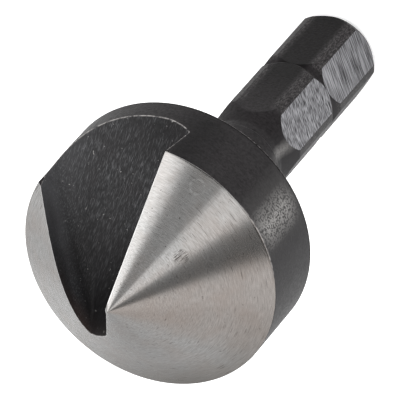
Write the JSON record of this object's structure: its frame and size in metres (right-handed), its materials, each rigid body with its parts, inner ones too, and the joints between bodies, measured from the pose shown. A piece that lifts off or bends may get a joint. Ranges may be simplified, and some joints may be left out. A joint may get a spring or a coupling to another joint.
{
  "type": "countersink bit",
  "caption": "Countersink bit with a conical cutting head, an open flute, a short round neck and a hex power shank with a detent ring.",
  "frame": {"origin": "centre of the flat end face of the shank", "axes": "+Z along the bit's axis from the shank to the point; +X along the outward run of the cutting edge; the open flute lies on the +Y side of the rake face"},
  "size_m": [0.019, 0.019, 0.0381],
  "materials": {
    "tool_steel": "black oxide high-speed steel with a bright ground cone"
  },
  "bodies": {
    "root": {"countersink_bit": "tool_steel"}
  },
  "joints": []
}
